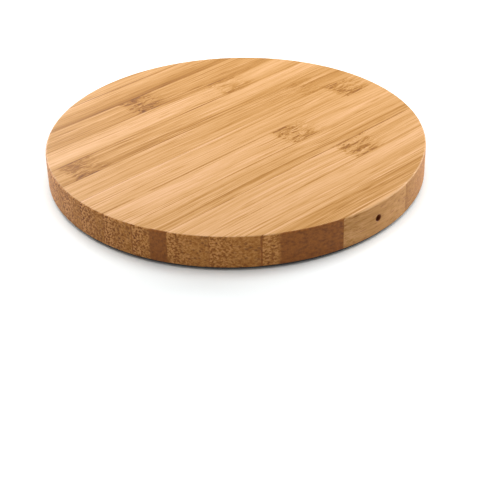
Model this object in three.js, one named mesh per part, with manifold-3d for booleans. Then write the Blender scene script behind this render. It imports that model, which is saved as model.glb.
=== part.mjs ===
// A round wireless charging pad: a laminated bamboo disc, milled hollow from below, that holds a
// charging coil on a round circuit board and is closed by a screwed plastic cover on four feet.
// Millimetres, +Z up. The origin is the centre of the underside, on the surface the feet stand on.
// The strips of the laminate run along X, the indicator faces -Y and the USB-C port faces +Y.

import * as THREE from "three";
import { mergeVertices } from "three/addons/utils/BufferGeometryUtils.js";
import Module from "manifold-3d";

const wasm = await Module();
wasm.setup();

// ---- Driving dimensions ----

const PAD_RADIUS = 45;
const PAD_HEIGHT = 8.4;
const COVER_BOTTOM = 0.25; // how far the feet lift the cover
const BODY_BOTTOM = 0.65; // the bamboo rests on the flange of the cover
const EDGE_ROUND = 0.4; // the sanded edges of the disc
const TOP_SKIN = 2; // the bamboo left above the coil
const POCKET_RADIUS = 39;
const COVER_RADIUS = 41.2;
const FLANGE_RADIUS = 44.6;
const COVER_CLEARANCE = 0.15;
const RECESS_DEPTH = 1.5; // how deep the cover sits in the bamboo
const RIM_SEGMENTS = 96;
const ROUND_SEGMENTS = 64; // discs inside the pad
const SMALL_SEGMENTS = 24; // feet and the larger holes
const SCREW_SEGMENTS = 16;
const OVERRUN = 2; // how far a cutting solid passes the face that it cuts

// Heights, from the table up
const COVER_TOP = BODY_BOTTOM + RECESS_DEPTH;
const SKIN_UNDERSIDE = PAD_HEIGHT - TOP_SKIN;
const BOARD_BOTTOM = 3.2;
const BOARD_THICKNESS = 0.8;
const BOARD_TOP = BOARD_BOTTOM + BOARD_THICKNESS;
const TAPE = 0.15;
const SHIELD_BOTTOM = BOARD_TOP + TAPE;
const SHIELD_THICKNESS = 1;
const SHIELD_TOP = SHIELD_BOTTOM + SHIELD_THICKNESS;
const WINDING_HEIGHT = (SHIELD_TOP + SKIN_UNDERSIDE - TAPE) / 2; // of the wire's centreline

// The indicator, in the middle of the front rim
const INDICATOR_HOLE_RADIUS = 0.8;
const INDICATOR_HEIGHT = 4.6;
const BAY_REACH = 41.2; // the pocket's two bays thin the wall at the indicator and the port
const FRONT_BAY_WIDTH = 9;
const REAR_BAY_WIDTH = 16.4;

// The cover's screws, in lugs left standing in the pocket, and its feet
const SCREW_CIRCLE = 37.5;
const LUG_RADIUS = 2.8;
const THREAD_RADIUS = 0.85;
const CORE_RADIUS = 0.6;
const THREAD_PITCH = 0.8;
const THREAD_START = 0.5; // above the underside of the head
const PILOT_RADIUS = 0.95;
const PILOT_TOP = SKIN_UNDERSIDE - 0.2;
const CLEARANCE_HOLE_RADIUS = 1;
const SCREW_LENGTH = 3.8;
const SCREW_HEAD_RADIUS = 1.55;
const SCREW_HEAD_HEIGHT = 0.75;
const CROSS = { length: 1.8, width: 0.42, depth: 0.45 };
const COUNTERBORE_RADIUS = 1.8;
const COUNTERBORE_DEPTH = 1.3;
const FOOT_CIRCLE = 33.5;
const FOOT_RADIUS = 4;
const FOOT_SEAT_DEPTH = 0.4;
const FOOT_SEAT_RADIUS = 4.15;
const LABEL_RADIUS = 20;
const LABEL_SEAT = 0.15; // deep
const LABEL_THICKNESS = 0.11;
const SCREWS = { rear_right: 45, rear_left: 135, front_left: 225, front_right: 315 };
const FEET = { right: 0, rear: 90, left: 180, front: 270 };

// The circuit board and the USB-C receptacle set into its rear edge
const BOARD_RADIUS = 32;
const FRONT_TAB = { width: 7, reach: 37.5 };
const REAR_TAB = { width: 15.4, reach: 40.9 };
const RIB_RADIUS = 30; // the ring on the cover that carries the board
const RIB_WIDTH = 1.2;
const TOOLING_HOLE_RADIUS = 0.9;
const USB = { width: 8.94, height: 3.26, wall: 0.3, length: 7.35, front: 44.6, bottom: 2.8 };
const USB_HEIGHT = USB.bottom + USB.height / 2;
const USB_REAR = USB.front - USB.length;
const USB_SLOT = { width: 9.6, height: 3.9 };
const USB_LEGS = [38.6, 40.1]; // along Y
const USB_LEG = { reach: 5.5, width: 0.9, thickness: 0.3, bottom: 2.9, lift: 0.1 };
const USB_TONGUE = { width: 6.69, thickness: 0.7, tip: 43.6 };
const USB_BLOCK = { start: 0.1, end: 1.6, clearance: 0.06 }; // from the shell's rear end

// The coil and its shield. The wire's inner end leaves below the turns, in a slot in the shield.
const SHIELD_RADIUS = 25;
const TAPE_RADIUS = 24;
const WIRE_RADIUS = 0.53;
const WIRE_SIDES = 6;
const COIL_INNER_RADIUS = 10.8; // of the wire's centreline
const COIL_PITCH = 1.25;
const COIL_START = 265; // degrees
const COIL_END = 127;
const COIL_TURNS = 9 + (COIL_END - COIL_START) / 360;
const TURN_STEPS = 30;
const LEAD_HEIGHT = (BOARD_TOP + SHIELD_TOP) / 2;
const LEAD_SLOT = { width: 1.8, inner: 5.1 };

// The board's components, as [radial depth, width, height, angle in degrees], on one circle
// between the shield and the board's edge
const PARTS_CIRCLE = 28.6;
const SOLDER = 0.05; // what each component stands on
const LED = { width: 3, depth: 0.6, proud: 0.3, middle: 36.7 };
const CHIPS = {
  power_inductor: [4, 4, 2, 18],
  voltage_regulator: [3, 2.8, 1.2, 32],
  crystal: [3.2, 2.5, 0.7, 45],
  charge_controller: [5, 5, 0.85, 60],
  fuse: [3.2, 1.6, 0.6, 74],
  input_capacitor_1: [3.2, 2.5, 2, 92],
  input_capacitor_2: [3.2, 2.5, 2, 101],
  mosfet_1: [3, 3, 0.85, 116],
  mosfet_2: [3, 3, 0.85, 124],
  mosfet_3: [3, 3, 0.85, 132],
  mosfet_4: [3, 3, 0.85, 140],
  resonance_capacitor_1: [4.5, 3.2, 1.8, 195],
  resonance_capacitor_2: [4.5, 3.2, 1.8, 204],
  resonance_capacitor_3: [4.5, 3.2, 1.8, 213],
  resonance_capacitor_4: [4.5, 3.2, 1.8, 222],
  thermistor: [1.6, 0.8, 0.8, 240],
};

// ---- Materials ----

const plain = (color, roughness, metalness = 0) =>
  new THREE.MeshStandardMaterial({ color, roughness, metalness });

const bamboo = plain(0xe2ae76, 0.6);
const coverPlastic = plain(0x1c1c1e, 0.55);
const silicone = plain(0x2a2a2c, 0.85);
const screwSteel = plain(0x9a9a9e, 0.35, 1);
const labelFoil = plain(0xc9c9c4, 0.5);
const boardLaminate = plain(0x16532f, 0.45);
const platedSteel = plain(0xb9bbc0, 0.3, 1);
const blackPlastic = plain(0x151515, 0.5);
const ferrite = plain(0x3b3a3c, 0.7);
const litzWire = plain(0xb0632c, 0.45, 0.6);
const whiteTape = plain(0xe9e6da, 0.7);
const chipResin = plain(0x1a1a1c, 0.5);
const capacitorCeramic = plain(0xa88763, 0.4);
const ledResin = plain(0xeeeadc, 0.3);

// ---- Solids ----

const radians = THREE.MathUtils.degToRad;

// A closed geometry as a manifold-3d solid.
function solidOf(geometry) {
  const bare = geometry.clone();
  bare.deleteAttribute("normal");
  bare.deleteAttribute("uv");
  const merged = mergeVertices(bare, 1e-4);
  return new wasm.Manifold(
    new wasm.Mesh({
      numProp: 3,
      vertProperties: merged.attributes.position.array,
      triVerts: new Uint32Array(merged.index.array),
    }),
  );
}

function geometryOf(solid) {
  const { vertProperties, triVerts } = solid.getMesh();
  const geometry = new THREE.BufferGeometry();
  geometry.setAttribute("position", new THREE.BufferAttribute(vertProperties, 3));
  geometry.setIndex(new THREE.BufferAttribute(triVerts, 1));
  geometry.computeVertexNormals();
  return geometry;
}

// The first geometry less the others, and all of the geometries joined.
const cut = (base, ...tools) =>
  geometryOf(tools.reduce((made, tool) => made.subtract(solidOf(tool)), solidOf(base)));
const join = (...pieces) =>
  geometryOf(pieces.map(solidOf).reduce((made, piece) => made.add(piece)));

// A profile of [radius, height] points turned about Z.
function turned(profile, segments) {
  const points = profile.map(([radius, height]) => new THREE.Vector2(radius, height));
  return new THREE.LatheGeometry(points, segments).rotateX(Math.PI / 2);
}

// An upright cylinder from one height to another.
function disc(radius, bottom, top, segments = SMALL_SEGMENTS) {
  return new THREE.CylinderGeometry(radius, radius, top - bottom, segments)
    .rotateX(Math.PI / 2)
    .translate(0, 0, (bottom + top) / 2);
}

// A shape drawn in X and Z, made solid between two places along Y.
function bar(shape, near, far, height) {
  return new THREE.ExtrudeGeometry(shape, { depth: far - near, bevelEnabled: false })
    .rotateX(Math.PI / 2)
    .translate(0, far, height);
}

function block(width, depth, bottom, top) {
  return new THREE.BoxGeometry(width, depth, top - bottom).translate(0, 0, (bottom + top) / 2);
}

// A rectangle whose two short ends are half circles.
function stadium(width, height) {
  const radius = height / 2;
  const straight = width / 2 - radius;
  const shape = new THREE.Shape();
  shape.absarc(straight, 0, radius, -Math.PI / 2, Math.PI / 2);
  shape.absarc(-straight, 0, radius, Math.PI / 2, (3 * Math.PI) / 2);
  shape.closePath();
  return shape;
}

const polar = (radius, degrees) => [
  radius * Math.cos(radians(degrees)),
  radius * Math.sin(radians(degrees)),
];

// The same geometry moved to each of several angles on a circle.
const around = (angles, radius, geometry) =>
  angles.map((degrees) => geometry.clone().translate(...polar(radius, degrees), 0));

// A quarter circle of profile points, from one angle to another.
function quarter(centreRadius, centreHeight, radius, fromDegrees, steps = 3) {
  return Array.from({ length: steps + 1 }, (_, i) => {
    const [across, up] = polar(radius, fromDegrees + (90 * i) / steps);
    return [centreRadius + across, centreHeight + up];
  });
}

// ---- The bamboo body ----

// A bay of the pocket, on the Y axis, that reaches towards the rim.
function bay(width, side) {
  const depth = 3 * (BAY_REACH - POCKET_RADIUS);
  return block(width, depth, COVER_TOP - 1, SKIN_UNDERSIDE).translate(
    0,
    side * (BAY_REACH - depth / 2),
    0,
  );
}

function bambooBody() {
  const edge = PAD_RADIUS - EDGE_ROUND;
  const blank = turned(
    [
      [0, BODY_BOTTOM],
      ...quarter(edge, BODY_BOTTOM + EDGE_ROUND, EDGE_ROUND, -90),
      ...quarter(edge, PAD_HEIGHT - EDGE_ROUND, EDGE_ROUND, 0),
      [0, PAD_HEIGHT],
    ],
    RIM_SEGMENTS,
  );
  const lugs = around(
    Object.values(SCREWS),
    SCREW_CIRCLE,
    disc(LUG_RADIUS, 0, PAD_HEIGHT),
  );
  const pocket = cut(
    join(
      disc(POCKET_RADIUS, COVER_TOP - 1, SKIN_UNDERSIDE, RIM_SEGMENTS),
      bay(FRONT_BAY_WIDTH, -1),
      bay(REAR_BAY_WIDTH, 1),
    ),
    ...lugs,
  );
  const recess = disc(COVER_RADIUS + COVER_CLEARANCE, -OVERRUN, COVER_TOP, RIM_SEGMENTS);
  const pilots = around(
    Object.values(SCREWS),
    SCREW_CIRCLE,
    disc(PILOT_RADIUS, COVER_TOP - 1, PILOT_TOP, SCREW_SEGMENTS),
  );
  const indicatorHole = disc(INDICATOR_HOLE_RADIUS, BAY_REACH - OVERRUN, PAD_RADIUS + OVERRUN)
    .rotateX(Math.PI / 2)
    .translate(0, 0, INDICATOR_HEIGHT);
  const portSlot = bar(
    stadium(USB_SLOT.width, USB_SLOT.height),
    BAY_REACH - OVERRUN,
    PAD_RADIUS + OVERRUN,
    USB_HEIGHT,
  );
  return cut(blank, pocket, recess, ...pilots, indicatorHole, portSlot);
}

// ---- The cover, its screws, feet and label ----

function bottomCover() {
  const bevel = 0.1;
  const plate = turned(
    [
      [0, COVER_BOTTOM],
      [FLANGE_RADIUS - bevel, COVER_BOTTOM],
      [FLANGE_RADIUS, COVER_BOTTOM + bevel],
      [FLANGE_RADIUS, BODY_BOTTOM],
      [COVER_RADIUS, BODY_BOTTOM],
      [COVER_RADIUS, COVER_TOP],
      [0, COVER_TOP],
    ],
    RIM_SEGMENTS,
  );
  const rib = cut(
    disc(RIB_RADIUS + RIB_WIDTH / 2, COVER_TOP - 0.5, BOARD_BOTTOM, ROUND_SEGMENTS),
    disc(RIB_RADIUS - RIB_WIDTH / 2, COVER_TOP - 1, BOARD_BOTTOM + 1, ROUND_SEGMENTS),
  );
  const screwAngles = Object.values(SCREWS);
  const seat = COVER_BOTTOM + COUNTERBORE_DEPTH;
  return cut(
    join(plate, rib),
    ...around(screwAngles, SCREW_CIRCLE, disc(COUNTERBORE_RADIUS, 0, seat)),
    ...around(
      screwAngles,
      SCREW_CIRCLE,
      disc(CLEARANCE_HOLE_RADIUS, 0, COVER_TOP + OVERRUN, SCREW_SEGMENTS),
    ),
    ...around(
      Object.values(FEET),
      FOOT_CIRCLE,
      disc(FOOT_SEAT_RADIUS, 0, COVER_BOTTOM + FOOT_SEAT_DEPTH),
    ),
    disc(LABEL_RADIUS + 0.2, 0, COVER_BOTTOM + LABEL_SEAT, ROUND_SEGMENTS),
  );
}

// A foot, with its underside at the origin.
function foot() {
  const round = 0.2;
  return turned(
    [
      [0, 0],
      [FOOT_RADIUS - round, 0],
      [FOOT_RADIUS, round],
      [FOOT_RADIUS, COVER_BOTTOM + FOOT_SEAT_DEPTH],
      [0, COVER_BOTTOM + FOOT_SEAT_DEPTH],
    ],
    SMALL_SEGMENTS,
  );
}

// A cross-head screw that points up, with the underside of its head at the origin.
function coverScrew() {
  const profile = [
    [0, -SCREW_HEAD_HEIGHT],
    [SCREW_HEAD_RADIUS * 0.75, -SCREW_HEAD_HEIGHT],
    [SCREW_HEAD_RADIUS, -SCREW_HEAD_HEIGHT * 0.55],
    [SCREW_HEAD_RADIUS, 0],
    [CORE_RADIUS, 0],
  ];
  const lastThread = SCREW_LENGTH - THREAD_PITCH;
  for (let height = THREAD_START; height < lastThread; height += THREAD_PITCH) {
    profile.push([CORE_RADIUS, height]);
    profile.push([THREAD_RADIUS, height + THREAD_PITCH * 0.35]);
    profile.push([THREAD_RADIUS, height + THREAD_PITCH * 0.5]);
    profile.push([CORE_RADIUS, height + THREAD_PITCH * 0.85]);
  }
  profile.push([0, SCREW_LENGTH]);
  const arm = (width, depth) =>
    block(width, depth, -SCREW_HEAD_HEIGHT - OVERRUN, -SCREW_HEAD_HEIGHT + CROSS.depth);
  return cut(
    turned(profile, SCREW_SEGMENTS),
    arm(CROSS.length, CROSS.width),
    arm(CROSS.width, CROSS.length),
  );
}

function ratingLabel() {
  const seat = COVER_BOTTOM + LABEL_SEAT;
  return disc(LABEL_RADIUS, seat - LABEL_THICKNESS, seat, ROUND_SEGMENTS);
}

// ---- The circuit board and what stands on it ----

function tab({ width, reach }, side) {
  const depth = reach - BOARD_RADIUS + 6;
  return block(width, depth, BOARD_BOTTOM, BOARD_TOP).translate(0, side * (reach - depth / 2), 0);
}

function circuitBoard() {
  const outline = join(
    disc(BOARD_RADIUS, BOARD_BOTTOM, BOARD_TOP, RIM_SEGMENTS),
    tab(FRONT_TAB, -1),
    tab(REAR_TAB, 1),
  );
  const clearance = 0.2;
  const mouth = block(USB.width + 2 * clearance, 2 * USB.length, 0, PAD_HEIGHT).translate(
    0,
    USB_REAR - clearance + USB.length,
    0,
  );
  const legSlot = block(
    USB_LEG.thickness + 2 * clearance,
    USB_LEG.width + 2 * clearance,
    0,
    PAD_HEIGHT,
  );
  const across = USB_LEG.reach - USB_LEG.thickness / 2;
  const legSlots = USB_LEGS.flatMap((along) => [
    legSlot.clone().translate(-across, along, 0),
    legSlot.clone().translate(across, along, 0),
  ]);
  const toolingHoles = around([0, 270], PARTS_CIRCLE, disc(TOOLING_HOLE_RADIUS, 0, PAD_HEIGHT));
  return cut(outline, mouth, ...legSlots, ...toolingHoles);
}

// The receptacle's drawn steel shell, with two legs a side that drop through the board.
function usbShell() {
  const profile = stadium(USB.width, USB.height);
  profile.holes.push(stadium(USB.width - 2 * USB.wall, USB.height - 2 * USB.wall));
  const sleeve = bar(profile, USB_REAR, USB.front, USB_HEIGHT);
  const armBottom = BOARD_TOP + USB_LEG.lift;
  const armTop = armBottom + USB_LEG.thickness;
  const root = USB.width / 2 - USB.wall / 2;
  const arm = block(USB_LEG.reach - root, USB_LEG.width, armBottom, armTop);
  const leg = block(USB_LEG.thickness, USB_LEG.width, USB_LEG.bottom, armTop);
  const legs = [-1, 1].flatMap((side) =>
    USB_LEGS.flatMap((along) => [
      arm.clone().translate((side * (USB_LEG.reach + root)) / 2, along, 0),
      leg.clone().translate(side * (USB_LEG.reach - USB_LEG.thickness / 2), along, 0),
    ]),
  );
  return join(sleeve, ...legs);
}

// The moulding inside the shell: a block at the rear and the tongue that carries the contacts.
function usbInsulator() {
  const inside = 2 * (USB.wall + USB_BLOCK.clearance);
  const body = bar(
    stadium(USB.width - inside, USB.height - inside),
    USB_REAR + USB_BLOCK.start,
    USB_REAR + USB_BLOCK.end,
    USB_HEIGHT,
  );
  const root = USB_REAR + (USB_BLOCK.start + USB_BLOCK.end) / 2;
  const half = USB_TONGUE.thickness / 2;
  const tongue = block(
    USB_TONGUE.width,
    USB_TONGUE.tip - root,
    USB_HEIGHT - half,
    USB_HEIGHT + half,
  ).translate(0, (USB_TONGUE.tip + root) / 2, 0);
  return join(body, tongue);
}

// A side-view diode, with its window towards -Y.
function indicatorLed() {
  const bottom = BOARD_TOP + SOLDER;
  const top = 2 * INDICATOR_HEIGHT - bottom;
  const inset = 0.2;
  const base = block(LED.width, LED.depth, bottom, top);
  const lens = block(LED.width - 4 * inset, LED.depth, bottom + inset, top - inset).translate(
    0,
    -LED.proud,
    0,
  );
  return join(base, lens).translate(0, -LED.middle, 0);
}

// ---- The coil, its shield and the tapes that hold them ----

// A disc with a slot towards -X for the wire's inner end.
function slottedDisc(radius, bottom, top) {
  const length = radius + OVERRUN - LEAD_SLOT.inner;
  const slot = block(length, LEAD_SLOT.width, bottom - OVERRUN, top + OVERRUN).translate(
    -LEAD_SLOT.inner - length / 2,
    0,
    0,
  );
  return cut(disc(radius, bottom, top, ROUND_SEGMENTS), slot);
}

const shieldTape = () => slottedDisc(TAPE_RADIUS, BOARD_TOP, SHIELD_BOTTOM);

const ferriteShield = () => slottedDisc(SHIELD_RADIUS, SHIELD_BOTTOM, SHIELD_TOP);

const coilTape = () =>
  disc(TAPE_RADIUS, SKIN_UNDERSIDE - TAPE, SKIN_UNDERSIDE, ROUND_SEGMENTS);

// One wire: in along the slot, up into the middle, round its turns and down over the edge.
function transmitterCoil() {
  const route = [
    [-27.2, 0, LEAD_HEIGHT],
    [-24, 0, LEAD_HEIGHT],
    [-18, 0, LEAD_HEIGHT],
    [-12, 0, LEAD_HEIGHT],
    [-10, 0, LEAD_HEIGHT + 0.06],
    [-8.4, 0, LEAD_HEIGHT + 0.55],
    [-6.9, 0, WINDING_HEIGHT - 0.1],
    [-5.6, -0.35, WINDING_HEIGHT],
    [-4.7, -1.8, WINDING_HEIGHT],
    [-4.5, -4, WINDING_HEIGHT],
    [-4.2, -6.6, WINDING_HEIGHT],
    [-3.1, -9, WINDING_HEIGHT],
  ];
  for (let step = 0; step <= COIL_TURNS * TURN_STEPS; step += 1) {
    const turns = step / TURN_STEPS;
    const radius = COIL_INNER_RADIUS + COIL_PITCH * turns;
    route.push([...polar(radius, COIL_START + 360 * turns), WINDING_HEIGHT]);
  }
  route.push([...polar(22.6, 143), WINDING_HEIGHT]);
  route.push([...polar(24.6, 155), WINDING_HEIGHT]);
  route.push([...polar(26, 160), WINDING_HEIGHT - 0.1]);
  route.push([...polar(27.4, 164), LEAD_HEIGHT + 0.35]);
  route.push([...polar(29, 168), LEAD_HEIGHT]);
  const path = new THREE.CatmullRomCurve3(route.map((point) => new THREE.Vector3(...point)));
  path.arcLengthDivisions = 2000;
  const section = new THREE.Shape(
    Array.from(
      { length: WIRE_SIDES },
      (_, i) => new THREE.Vector2(...polar(WIRE_RADIUS, (360 * i) / WIRE_SIDES)),
    ),
  );
  return new THREE.ExtrudeGeometry(section, {
    steps: Math.ceil((COIL_TURNS + 1) * TURN_STEPS),
    extrudePath: path,
  });
}

// ---- The assembly ----

const pad = new THREE.Group();

function place(name, geometry, material, position = [0, 0, 0], turn = 0) {
  const mesh = new THREE.Mesh(geometry, material);
  mesh.name = name;
  mesh.position.set(...position);
  mesh.rotation.z = radians(turn);
  pad.add(mesh);
}

place("bamboo_body", bambooBody(), bamboo);
place("bottom_cover", bottomCover(), coverPlastic);
place("rating_label", ratingLabel(), labelFoil);
for (const [where, angle] of Object.entries(FEET)) {
  place(`foot_${where}`, foot(), silicone, [...polar(FOOT_CIRCLE, angle), 0]);
}
for (const [where, angle] of Object.entries(SCREWS)) {
  const seat = COVER_BOTTOM + COUNTERBORE_DEPTH;
  place(`cover_screw_${where}`, coverScrew(), screwSteel, [...polar(SCREW_CIRCLE, angle), seat]);
}

place("circuit_board", circuitBoard(), boardLaminate);
place("usb_shell", usbShell(), platedSteel);
place("usb_insulator", usbInsulator(), blackPlastic);
place("indicator_led", indicatorLed(), ledResin);
for (const [name, [depth, width, height, angle]] of Object.entries(CHIPS)) {
  const material = name.includes("capacitor") ? capacitorCeramic : chipResin;
  const middle = [...polar(PARTS_CIRCLE, angle), BOARD_TOP + SOLDER + height / 2];
  place(name, new THREE.BoxGeometry(depth, width, height), material, middle, angle);
}

place("shield_tape", shieldTape(), whiteTape);
place("ferrite_shield", ferriteShield(), ferrite);
place("transmitter_coil", transmitterCoil(), litzWire);
place("coil_tape", coilTape(), whiteTape);

export default pad;
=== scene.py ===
"""Looks for a round bamboo wireless charging pad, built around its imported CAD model.

Shapes are drawn in millimetres and scaled to metres when they become pieces. The strips of the
laminate run along X, the indicator hole is at -Y and the USB-C port at +Y.
"""

import math
from itertools import pairwise

import bmesh
import bpy
from mathutils import Matrix, Vector, noise


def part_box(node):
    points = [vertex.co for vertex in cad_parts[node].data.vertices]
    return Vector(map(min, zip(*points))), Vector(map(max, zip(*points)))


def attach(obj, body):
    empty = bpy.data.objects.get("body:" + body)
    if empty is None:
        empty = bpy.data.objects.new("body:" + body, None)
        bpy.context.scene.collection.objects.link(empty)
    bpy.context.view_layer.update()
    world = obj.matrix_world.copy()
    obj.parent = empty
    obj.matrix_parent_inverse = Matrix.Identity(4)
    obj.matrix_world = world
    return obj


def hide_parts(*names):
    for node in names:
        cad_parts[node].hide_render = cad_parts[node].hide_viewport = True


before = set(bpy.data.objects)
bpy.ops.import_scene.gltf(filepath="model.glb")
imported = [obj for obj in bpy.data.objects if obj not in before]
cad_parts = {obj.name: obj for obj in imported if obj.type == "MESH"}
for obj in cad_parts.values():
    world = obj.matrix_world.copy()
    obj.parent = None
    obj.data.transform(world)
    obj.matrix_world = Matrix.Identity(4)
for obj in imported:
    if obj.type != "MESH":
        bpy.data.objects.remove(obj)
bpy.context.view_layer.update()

MM = 0.001
scene = bpy.context.scene


# ---- Places, from the frame ----


def box_mm(node):
    """A CAD node's lowest and highest corners in millimetres."""
    low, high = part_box(node)
    return low / MM, high / MM


def middle_mm(node):
    """The middle of a CAD node's box in millimetres."""
    low, high = box_mm(node)
    return (low + high) / 2


body_low, body_high = box_mm("bamboo_body")
PAD_RADIUS = body_high.x
PAD_TOP = body_high.z
BODY_BOTTOM = body_low.z
cover_low, cover_high = box_mm("bottom_cover")
COVER_BOTTOM = cover_low.z
FLANGE_RADIUS = cover_high.x
COVER_RADIUS = 41.2  # of the part that sits in the bamboo
RECESS_DEPTH = 1.5
COVER_TOP = BODY_BOTTOM + RECESS_DEPTH
BOARD_BOTTOM = box_mm("circuit_board")[0].z
BOARD_TOP = box_mm("circuit_board")[1].z
SKIN_UNDERSIDE = box_mm("coil_tape")[1].z
PORT_MIDDLE = middle_mm("usb_shell").z
PORT_PLACE = (0, 0, PORT_MIDDLE)
port_low, port_high = box_mm("usb_shell")
INDICATOR_HEIGHT = middle_mm("indicator_led").z
HOLE_RADIUS = 0.8
SCREWS = [f"cover_screw_{end}_{side}" for end in ("front", "rear") for side in ("left", "right")]
FEET = [f"foot_{place}" for place in ("front", "rear", "left", "right")]


def placed(name, data):
    """A new object in the scene."""
    made = bpy.data.objects.new(name, data)
    scene.collection.objects.link(made)
    return made


# ---- Camera ----

CAMERA_AZIMUTH = -42.8
CAMERA_ELEVATION = 27.8
CAMERA_ROLL = -1.66
CAMERA_DISTANCE = 6.5  # from the middle of the top face, in pad radii
AIM_AHEAD = 1.0255  # how far in front of that point the camera aims, in pad radii
AIM_RIGHT = 0.007
LENS = 91.75
SENSOR = 36.0

turn = math.radians(CAMERA_AZIMUTH)
TOWARDS_CAMERA = Vector((math.sin(turn), -math.cos(turn), 0))
CAMERA_RIGHT = Vector((math.cos(turn), math.sin(turn), 0))


def stage_point(right, ahead, up):
    """A point given from where the camera stands, in metres, with the pad's middle at zero."""
    return CAMERA_RIGHT * right + TOWARDS_CAMERA * ahead + Vector((0, 0, up))


def make_camera():
    """The only camera, above the pad's front left."""
    radius = PAD_RADIUS * MM
    rise = math.radians(CAMERA_ELEVATION)
    distance = CAMERA_DISTANCE * radius
    top = Vector((0, 0, PAD_TOP * MM))
    data = bpy.data.cameras.new("camera")
    data.lens = LENS
    data.sensor_width = SENSOR
    camera = placed("camera", data)
    camera.location = top + stage_point(0, distance * math.cos(rise), distance * math.sin(rise))
    aim = top + stage_point(AIM_RIGHT * radius, AIM_AHEAD * radius, 0)
    facing = (aim - camera.location).to_track_quat("-Z", "Y").to_matrix()
    roll = Matrix.Rotation(math.radians(CAMERA_ROLL), 3, "Z")
    camera.rotation_euler = (facing @ roll).to_euler()
    scene.camera = camera


make_camera()


# ---- Lines, loops and solids, in millimetres ----


def polar(radius, degrees, height=0.0):
    """A point on a circle about the pad's axis."""
    angle = math.radians(degrees)
    return Vector((radius * math.cos(angle), radius * math.sin(angle), height))


def circle(radius, height, count, centre=(0, 0)):
    """A level loop of points, anticlockwise."""
    middle = Vector((centre[0], centre[1], height))
    return [middle + polar(radius, 360 * i / count) for i in range(count)]


def rounded_box(width, depth, corner, height, steps=6):
    """A level rectangle with round corners, anticlockwise. A full corner makes a stadium."""
    corner = min(corner, width / 2 - 1e-4, depth / 2 - 1e-4)
    points = []
    for quarter, (side, end) in enumerate([(1, 1), (-1, 1), (-1, -1), (1, -1)]):
        centre = Vector((side * (width / 2 - corner), end * (depth / 2 - corner), height))
        for step in range(steps + 1):
            points.append(centre + polar(corner, 90 * (quarter + step / steps)))
    return points


def rounding(edge, steps, start):
    """Inset and rise along a quarter circle, from a flat end (start) to a side, or back."""
    turns = [math.radians(90 * step / steps) for step in range(steps + 1)]
    pairs = [(edge * (1 - math.sin(turn)), edge * (1 - math.cos(turn))) for turn in turns]
    return pairs if start else pairs[::-1]


def prism(outline, bottom, top, edge, steps=4):
    """Loops of a prism with rounded edges. outline(inset, height) gives a loop."""
    lower = [outline(inset, bottom + rise) for inset, rise in rounding(edge, steps, True)]
    upper = [outline(inset, top - rise) for inset, rise in rounding(edge, steps, False)]
    return lower + upper


def bar(width, depth, corner, bottom, top, edge, steps=2):
    """Loops of an upright bar with a rounded rectangle as its section and rounded ends."""

    def outline(inset, height):
        return rounded_box(width - 2 * inset, depth - 2 * inset, corner, height)

    return prism(outline, bottom, top, edge, steps)


def cylinder(radius, bottom, top, count, middle=(0, 0)):
    """Loops of a plain upright cylinder."""
    return [circle(radius, height, count, middle) for height in (bottom, top)]


def disc(radius, bottom, top, edge, steps=4, count=64, middle=(0, 0)):
    """Loops of an upright disc with rounded edges."""

    def outline(inset, height):
        return circle(radius - inset, height, count, middle)

    return prism(outline, bottom, top, edge, steps)


def standing(loops):
    """Loops drawn flat, stood up so that their height runs along +Y."""
    return [[Vector((-p.x, p.z, p.y)) for p in loop] for loop in loops]


def moved(loops, offset, degrees=0.0):
    """Loops turned about the origin's upright axis and then shifted."""
    place = Matrix.Translation(offset) @ Matrix.Rotation(math.radians(degrees), 4, "Z")
    return [[place @ p for p in loop] for loop in loops]


def add_solid(bm, loops):
    """Adds a closed solid through loops of equal length to bm."""
    rings = [[bm.verts.new(p) for p in loop] for loop in loops]
    bm.faces.new(rings[0][::-1])
    bm.faces.new(rings[-1])
    for low, high in pairwise(rings):
        for i in range(len(low)):
            j = (i + 1) % len(low)
            bm.faces.new((low[i], low[j], high[j], high[i]))


def mesh_of(name, *stacks):
    """A mesh object holding one closed solid for each stack of loops."""
    bm = bmesh.new()
    for loops in stacks:
        add_solid(bm, loops)
    bmesh.ops.recalc_face_normals(bm, faces=bm.faces)
    mesh = bpy.data.meshes.new(name)
    bm.to_mesh(mesh)
    bm.free()
    return placed(name, mesh)


def boolean(target, operation, *solids):
    """Cuts solids from the target, or joins them to it, one after another, and uses them up.

    Each is a stack of loops or an object.
    """
    tools = [
        given if isinstance(given, bpy.types.Object) else mesh_of("tool", given)
        for given in solids
    ]
    for tool in tools:
        cut = target.modifiers.new("cut", "BOOLEAN")
        cut.operation = operation
        cut.solver = "EXACT"
        cut.object = tool
    evaluated = target.evaluated_get(bpy.context.evaluated_depsgraph_get())
    result = bpy.data.meshes.new_from_object(evaluated)
    target.modifiers.clear()
    target.data = result
    for tool in tools:
        bpy.data.objects.remove(tool)
    return target


def piece(made, materials, replaces=(), smooth=35.0):
    """Scales a drawn object to metres, gives it its materials and rides it on the pad."""
    made.data.transform(Matrix.Scale(MM, 4))
    made.data.shade_smooth()
    made.data.set_sharp_from_angle(angle=math.radians(smooth))
    made.data.materials.clear()
    for material in materials:
        made.data.materials.append(material)
    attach(made, "root")
    if replaces:
        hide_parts(*replaces)


# ---- Materials ----


def srgb(red, green, blue):
    """A colour given as it looks, from 0 to 255, as linear light."""

    def linear(value):
        share = value / 255
        return share / 12.92 if share <= 0.04045 else ((share + 0.055) / 1.055) ** 2.4

    return (linear(red), linear(green), linear(blue), 1.0)


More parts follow.
